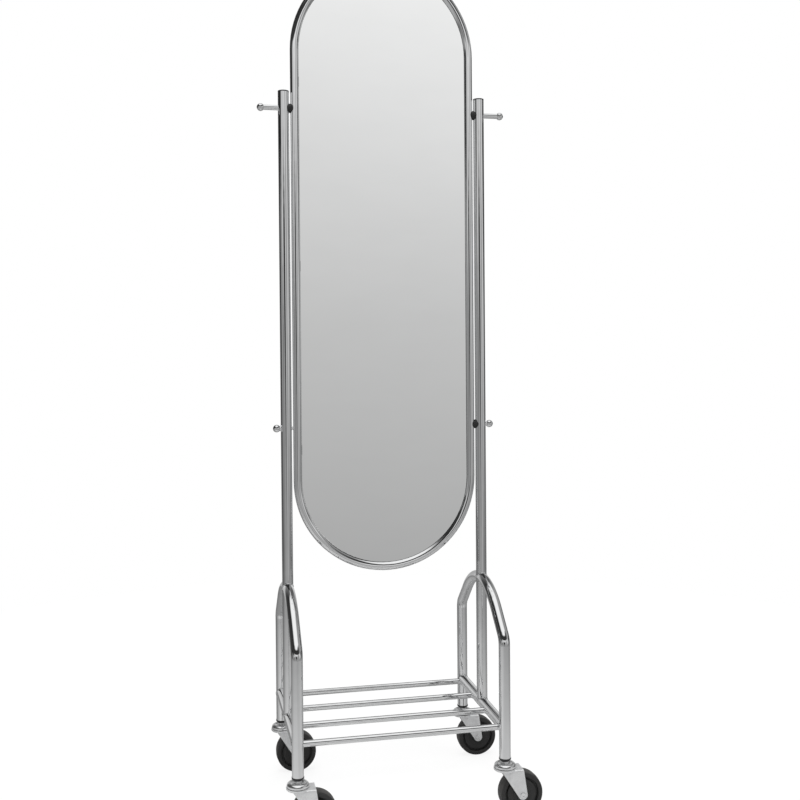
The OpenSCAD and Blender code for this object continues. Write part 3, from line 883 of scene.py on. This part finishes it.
@dataclass
class MirrorUnit:
    """The ring with its glass, panel and tabs, and the four fixings to the posts."""

    ring_radius: float = 178 * MM
    ring_tube: float = 8.5 * MM
    tab_width: float = 20 * MM
    tab_pitch: float = 366 * MM
    tab_face: float = 7.5 * MM
    bead: WeldBead = WeldBead(1.2 * MM, ripples=9, ripple_height=0.12, steps=40)
    stud_radius: float = 3 * MM
    thread_pitch: float = 1 * MM
    thread_depth: float = 0.28 * MM
    post_radius: float = 11 * MM
    lower_fixing_z: float = 744 * MM

    def build(self, frame: PackedFrame) -> None:
        """Dresses the mirror and adds its welds and the bare stud's thread.

        Args:
            frame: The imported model.
        """
        frame.dress(CHROME, "mirror_ring", "backing_tabs")
        frame.dress(ROD_CHROME, "peg_washers", "left_hook_peg", "left_ball_screw",
                    "right_hook_peg", "right_ball_screw")
        frame.dress(MIRROR, "mirror_glass")
        frame.dress(FOAM, "bond_tapes")
        frame.dress(BOARD, "backing_panel")
        frame.dress(RUBBER, "mirror_spacers")
        frame.dress(PLASTIC, "post_end_plugs")
        frame.dress(ZINC, "panel_screws", "ring_bosses")
        frame.place(self.tab_welds(), "frame", Slot.CHROME, CHROME)
        stud = self.bare_thread(-abs(frame.corners[0].x))
        frame.place(stud, "frame", Slot.CHROME, ROD_CHROME)

    def tab_welds(self) -> bpy.types.Object:
        """Lays a short bead across each tab, where it meets the ring's back.

        Returns:
            The beads.
        """
        low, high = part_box("mirror_ring")
        reach = self.ring_radius + self.ring_tube
        low_z, high_z = low.z + reach, high.z - reach
        across = self.ring_radius - math.sqrt(self.ring_tube ** 2 - self.tab_face ** 2)
        welds = Workpiece()
        for rise in (-self.tab_pitch, 0, self.tab_pitch):
            for side in (-1, 1):
                middle = Vector((side * across, self.tab_face, (low_z + high_z) / 2 + rise))
                self.lay_bead(welds, middle, Vector((0, 0, 1)))
        for z in (low_z - across, high_z + across):
            self.lay_bead(welds, Vector((0, self.tab_face, z)), Vector((1, 0, 0)))
        return welds.finished("tab_welds")

    def lay_bead(self, welds: Workpiece, middle: Vector, along: Vector) -> None:
        """Lays one short bead that shows at the back.

        Args:
            welds: The mesh that it joins.
            middle: Its middle.
            along: Its direction.
        """
        shares = [step / self.bead.steps - 0.5 for step in range(self.bead.steps + 1)]
        self.bead.lay(welds, [(middle + along * (self.tab_width * share), Vector((0, 1, 0)))
                              for share in shares], Edge.TAPERED)

    def bare_thread(self, post_x: float) -> bpy.types.Object:
        """Cuts the thread that shows on the stud at the lower left, where no spacer is fitted.

        Args:
            post_x: The left post's place along X.

        Returns:
            The thread, from the post to the ring.
        """
        thread = Workpiece()
        thread.thread(Vector((post_x + self.post_radius, 0, self.lower_fixing_z)),
                      Vector((-self.ring_radius - self.ring_tube, 0, self.lower_fixing_z)),
                      self.stud_radius, self.thread_pitch, self.thread_depth)
        return thread.finished("lower_left_stud_thread")


class LegEnds:
    """The leg sockets, the stems and the raceway caps."""

    def build(self, frame: PackedFrame) -> None:
        """Dresses the leg ends.

        Args:
            frame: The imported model.
        """
        frame.dress(PLASTIC, "leg_sockets")
        frame.dress(ZINC, "caster_stems")
        frame.dress(PRESSED, "raceway_caps")


@dataclass
class Caster:
    """One caster: its bearing, fork, axle and wheel, with their pressed and moulded marks."""

    corner: Corner
    trail: float = 30 * MM
    wheel_radius: float = 42.5 * MM
    circle_steps: int = 128
    mould_line_radius: float = 41.2 * MM
    mould_line_offset: float = 11.6 * MM
    mould_line: float = 0.22 * MM
    disc_ring_radius: float = 18 * MM
    disc_face: float = 11.5 * MM
    disc_ring: float = 0.35 * MM
    dart_half_height: float = 3.4 * MM
    dart_half_width: float = 1.3 * MM
    dart_height: float = 0.7 * MM
    dart_drop: float = 7.4 * MM
    dart_shift: float = 4.5 * MM
    fork_face: float = 19 * MM
    plate_z: float = 91 * MM
    nut_end: float = 25.5 * MM
    thread_length: float = 1.4 * MM
    thread_radius: float = 3.75 * MM
    thread_pitch: float = 1.25 * MM
    thread_depth: float = 0.3 * MM

    @property
    def axle(self) -> Vector:
        """Middle of the axle."""
        return Vector((self.corner.x + self.trail, self.corner.y, self.wheel_radius))

    def build(self, frame: PackedFrame) -> None:
        """Dresses the caster's nodes and adds its marks.

        Args:
            frame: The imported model.
        """
        name = self.corner.name
        disc = replace(DISC, name=f"{name}_wheel_moulding", axle=tuple(self.axle))
        tyre = replace(TYRE, name=f"{name}_tyre_rubber", axle=tuple(self.axle))
        frame.dress(ZINC, f"{name}_fork")
        frame.dress(PRESSED, f"{name}_axle_bolt", f"{name}_axle_nut")
        frame.dress(BRIGHT, f"{name}_bearing_balls", f"{name}_axle_bush")
        frame.dress(disc, f"{name}_wheel_core")
        frame.dress(tyre, f"{name}_tyre")
        frame.place(self.circles("mould_lines", self.mould_line_radius, self.mould_line_offset,
                                 self.mould_line), self.corner.wheel, Slot.TYRE, tyre)
        frame.place(self.circles("disc_rings", self.disc_ring_radius, self.disc_face,
                                 self.disc_ring), self.corner.wheel, Slot.WHEEL, disc)
        frame.place(self.darts(), self.corner.swivel, Slot.ZINC, ZINC)
        frame.place(self.bolt_thread(), self.corner.swivel, Slot.ZINC, PRESSED)

    def circles(self, name: str, radius: float, offset: float,
                thickness: float) -> bpy.types.Object:
        """Lays a thin ring round the axle on each side of the wheel.

        Args:
            name: The piece's name after the caster's.
            radius: The rings' radius.
            offset: How far each lies from the wheel's middle.
            thickness: Radius of their section.

        Returns:
            The two rings.
        """
        rings = Workpiece()
        spokes = [Vector((math.cos(turn), 0, math.sin(turn))) for turn in angles(self.circle_steps)]
        for side in (-1, 1):
            centre = self.axle + Vector((0, side * offset, 0))
            rings.strand([(centre + spoke * radius, spoke) for spoke in spokes], thickness,
                         Edge.CLOSED, sides=6)
        return rings.finished(f"{self.corner.name}_{name}")

    def darts(self) -> bpy.types.Object:
        """Presses an upright dart into each leg of the fork, under its fold.

        Returns:
            The darts.
        """
        darts = Workpiece()
        for side in (-1, 1):
            centre = Vector((self.corner.x + self.dart_shift,
                             self.corner.y + side * self.fork_face, self.plate_z - self.dart_drop))
            darts.dome(centre, Vector((0, side, 0)), Vector((0, 0, self.dart_half_height)),
                       self.dart_half_width, self.dart_height)
        return darts.finished(f"{self.corner.name}_fork_darts")

    def bolt_thread(self) -> bpy.types.Object:
        """Cuts the thread that shows where the axle bolt leaves its nut.

        Returns:
            The thread.
        """
        start = self.axle + Vector((0, self.nut_end, 0))
        thread = Workpiece()
        thread.thread(start, start + Vector((0, self.thread_length, 0)), self.thread_radius,
                      self.thread_pitch, self.thread_depth)
        return thread.finished(f"{self.corner.name}_bolt_thread")


# ---------- the studio


@dataclass(frozen=True)
class Band:
    """What the room shows at one height, all the way round or by compass bearing.

    A bearing is in degrees, from the front towards the right. The height is that of a unit
    direction, so 0 is level and 1 is straight up.
    """

    height: float
    stops: tuple[Stop, ...]


ROOM = (
    Band(-0.34, ((0, 0.42),)),
    Band(-0.20, (
        (-180, 0.50), (-155, 0.40), (-135, 0.08), (-95, 0.11), (-67, 0.22), (-44, 0.30),
        (-22, 0.33), (3, 0.33), (6, 0.43), (16.5, 0.44), (20, 0.31), (42, 0.28), (65, 0.18),
        (93, 0.14), (120, 0.20), (150, 0.40), (180, 0.50))),
    Band(0.02, (
        (-180, 0.42), (-168, 0.44), (-160, 0.64), (-142, 0.10), (-112, 0.03), (-100, 0.06),
        (-84, 0.32), (-71, 0.36), (-60, 0.20), (-48, 0.14), (-36, 0.40), (-27, 0.28), (-21, 0.02),
        (1, 0.02), (4, 0.56), (17, 0.58), (19, 0.24), (28, 0.32), (40, 0.46), (56, 0.62),
        (70, 0.52), (80, 0.28), (90, 0.08), (107, 0.05), (124, 0.09), (142, 0.45), (160, 0.68),
        (168, 0.46), (180, 0.42))),
    Band(0.12, (
        (-180, 0.42), (-168, 0.45), (-160, 0.69), (-144, 0.08), (-104, 0.03), (-91, 0.24),
        (-70, 0.28), (-60, 0.42), (-50, 0.74), (-38, 0.50), (-28, 0.26), (-21, 0.04), (1, 0.04),
        (4, 0.66), (17, 0.68), (20, 0.22), (34, 0.32), (48, 0.60), (62, 0.60), (75, 0.32),
        (84, 0.07), (107, 0.04), (126, 0.06), (144, 0.48), (161, 0.74), (168, 0.46), (180, 0.42))),
    Band(0.19, (
        (-180, 0.42), (-168, 0.46), (-160, 0.75), (-148, 0.04), (-84, 0.01), (-64, 0.03),
        (-57, 0.42), (-45, 0.66), (-36, 0.62), (-28, 0.42), (-20, 0.60), (-10, 0.46), (1, 0.44),
        (4, 0.72), (17, 0.78), (20, 0.22), (27, 0.24), (36, 0.60), (50, 0.74), (62, 0.46),
        (71, 0.26), (78, 0.05), (104, 0.04), (128, 0.08), (145, 0.50), (162, 0.80), (168, 0.46),
        (180, 0.42))),
    Band(0.32, (
        (-180, 0.50), (-160, 0.46), (-148, 0.06), (-84, 0.03), (-66, 0.08), (-52, 0.36),
        (-32, 0.76), (-12, 0.92), (4, 0.88), (17, 0.92), (20, 0.36), (28, 0.34), (46, 0.80),
        (62, 0.60), (76, 0.42), (92, 0.36), (104, 0.08), (128, 0.08), (145, 0.36), (162, 0.46),
        (180, 0.50))),
    Band(0.36, (
        (-180, 0.36), (-140, 0.04), (40, 0.04), (75, 0.42), (125, 0.42), (150, 0.10), (180, 0.36))),
    Band(0.68, (
        (-180, 0.20), (-140, 0.03), (40, 0.03), (80, 0.30), (125, 0.30), (150, 0.10), (180, 0.20))),
    Band(0.80, (
        (-180, 0.20), (-140, 0.03), (-70, 0.03), (-30, 1.0), (10, 1.0), (45, 0.06), (80, 0.30),
        (125, 0.30), (150, 0.10), (180, 0.20))),
    Band(0.91, ((0, 1.0),)),
)


@dataclass(frozen=True)
class StudioRoom:
    """The room that bright metal shows: pale walls with dark screens, and a light box overhead."""

    bands: tuple[Band, ...] = ROOM
    even_light: float = 0.62

    def build(self, world: bpy.types.World) -> None:
        """Shows the room in reflections, an even light on matt things and white to the camera.

        Args:
            world: The world, whose nodes are replaced.
        """
        world.use_nodes = True
        nodes = Nodes(world.node_tree)
        rays = nodes.add("LightPath").outputs
        shiny = nodes.figure("MAXIMUM", rays["Is Glossy Ray"], rays["Is Transmission Ray"])
        even = nodes.add("Background", {"Color": WHITE, "Strength": self.even_light}).outputs[0]
        seen = nodes.add("Background", {"Color": self.walls(nodes)}).outputs[0]
        white = nodes.add("Background", {"Color": WHITE}).outputs[0]
        light = nodes.layers(shiny, even, seen)
        nodes.add("OutputWorld", {"Surface": nodes.layers(rays["Is Camera Ray"], light, white)})

    def walls(self, nodes: Nodes) -> Socket:
        """Blends the bands, each into the next with the height.

        Args:
            nodes: The world's nodes under construction.

        Returns:
            The room's colour in every direction.
        """
        view = nodes.add("TexCoord").outputs["Generated"]
        height = nodes.add("SeparateXYZ", {0: view}).outputs["Z"]
        compass = nodes.compass(view)
        room = nodes.all_round(compass, self.bands[0].stops)
        for below, above in zip(self.bands, self.bands[1:]):
            room = nodes.tones(nodes.span(height, (below.height, above.height)), room,
                               nodes.all_round(compass, above.stops))
        return room


@dataclass(frozen=True)
class StudioFloor:
    """The pale floor, which the camera sees as white with a soft shadow.

    Its colour is painted darker away from the object, a painted shade that stands in for the light
    on a studio floor falling off: one table gives the painted tone by distance, the other a factor
    of painted shade by compass bearing. The camera sees an even tone instead.
    """

    radius: float = 2.0
    sides: int = 96
    painted_falloff: tuple[Stop, ...] = ((0.3, 0.64), (0.75, 0.51), (1.2, 0.40), (1.6, 0.35), (2.0, 0.34))
    painted_sectors: tuple[Stop, ...] = ((-180, 0.8), (-150, 0.5), (-113, 0.5), (-90, 0.8), (-65, 1.0),
                                 (-27, 1.0), (-12, 0.88), (50, 0.9), (75, 0.76), (110, 0.55),
                                 (150, 0.6), (180, 0.8))
    camera_tone: float = 0.50
    roughness: float = 0.9
    speck_scale: float = 160.0
    speck_depth: float = 0.0002
    shadow: float = 0.30
    glow: float = 1.24

    def build(self) -> None:
        """Lays the floor."""
        disc = Workpiece()
        bmesh.ops.create_circle(disc.mesh, cap_ends=True, segments=self.sides, radius=self.radius)
        floor = disc.finished("studio_floor")
        floor.data.materials.append(self.material())
        LOG.info("laid the studio floor")

    def material(self) -> bpy.types.Material:
        """Builds the floor's material.

        Returns:
            The material.
        """
        graph = Graph("pale_floor")
        to_camera = graph.add("LightPath").outputs["Is Camera Ray"]
        # painted shade for every ray but the camera's, which sees the floor's even tone
        tone = graph.add("Mix", {0: to_camera, 2: self.tones(graph), 3: self.camera_tone})
        speck = graph.relief(graph.noise(self.speck_scale, detail=3.0), self.speck_depth)
        graph.coat(tone.outputs[0], self.roughness, speck)
        graph.fill(graph.shader, {"Specular IOR Level": 0.0})
        glow = graph.add("Emission", {"Color": WHITE, "Strength": self.glow}).outputs[0]
        share = graph.figure("MULTIPLY", to_camera, 1 - self.shadow)
        graph.fill(graph.output,
                   {"Surface": graph.layers(share, graph.shader.outputs["BSDF"], glow)})
        return graph.material

    def tones(self, graph: Graph) -> Socket:
        """Finds the painted shade that bright metal sees in the floor.

        Args:
            graph: The floor's material under construction.

        Returns:
            The tone.
        """
        reach = graph.vector("LENGTH", graph.place, result="Value")
        painted_falloff = graph.ramp(graph.span(reach, (0.0, self.radius)),
                             [(distance / self.radius, tone) for distance, tone in self.painted_falloff])
        return graph.figure("MULTIPLY", painted_falloff,
                            graph.all_round(graph.compass(graph.place), self.painted_sectors))


@dataclass(frozen=True)
class SoftLamp:
    """A square lamp overhead that faces the object, and that bright metal doesn't show."""

    name: str
    place: Point
    power: float
    size: float = 1.2
    aim: Point = (0, 0, 0.7)

    def hang(self) -> None:
        """Adds the lamp to the scene."""
        light = bpy.data.lights.new(self.name, "AREA")
        light.size = self.size
        light.energy = self.power
        lamp = bpy.data.objects.new(self.name, light)
        lamp.location = self.place
        lamp.visible_glossy = False
        towards = Vector(self.aim) - Vector(self.place)
        lamp.rotation_euler = towards.to_track_quat("-Z", "Y").to_euler()
        bpy.context.scene.collection.objects.link(lamp)
        LOG.info("hung the %s lamp", self.name)


@dataclass(frozen=True)
class Viewpoint:
    """The photograph's viewpoint, with its angles in radians and its lens in millimetres."""

    place: Point = (-0.4113, -2.0741, 0.9076)
    yaw: float = 0.21037
    pitch: float = 0.01434
    roll: float = -0.0076
    lens: float = 47.083
    sensor: float = 36.0
    shift: float = -0.05

    def set_up(self) -> None:
        """Sets the scene's camera there."""
        forward = Vector((math.sin(self.yaw) * math.cos(self.pitch),
                          math.cos(self.yaw) * math.cos(self.pitch), -math.sin(self.pitch)))
        level = Vector((math.cos(self.yaw), -math.sin(self.yaw), 0))
        upright = level.cross(forward)
        right = level * math.cos(self.roll) + upright * math.sin(self.roll)
        up = upright * math.cos(self.roll) - level * math.sin(self.roll)
        data = bpy.data.cameras.new("camera")
        data.lens = self.lens
        data.sensor_width = self.sensor
        data.shift_y = self.shift
        camera = bpy.data.objects.new("camera", data)
        turn = Matrix((right, up, -forward)).transposed()
        camera.matrix_world = Matrix.Translation(self.place) @ turn.to_4x4()
        bpy.context.scene.collection.objects.link(camera)
        bpy.context.scene.camera = camera


@dataclass(frozen=True)
class Studio:
    """Floor, room, lamps and camera."""

    lamps: tuple[SoftLamp, ...] = (SoftLamp("key", (-0.5, -0.8, 3.2), 30.0),
                                   SoftLamp("fill", (0.8, -0.6, 3.1), 18.0),
                                   SoftLamp("back", (-0.1, 0.9, 3.1), 16.0))

    def build(self) -> None:
        """Builds the whole studio."""
        StudioFloor().build()
        world = bpy.data.worlds.new("studio")
        bpy.context.scene.world = world
        StudioRoom().build(world)
        for lamp in self.lamps:
            lamp.hang()
        Viewpoint().set_up()
        bpy.context.scene.view_settings.view_transform = "Standard"


# ---------- putting it together


def write_sizes() -> None:
    """Brings the placements of the scene up to date.
    """
    bpy.context.view_layer.update()


def main() -> None:
    """Loads the frame, dresses every sub-assembly and sets the studio round it."""
    logging.basicConfig(level=logging.INFO, format="%(name)s: %(message)s")
    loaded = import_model()
    frame = PackedFrame(loaded)
    Tubework().build(frame)
    MirrorUnit().build(frame)
    LegEnds().build(frame)
    for corner in frame.corners:
        Caster(corner).build(frame)
    Studio().build()
    write_sizes()


if __name__ == "__main__":
    main()
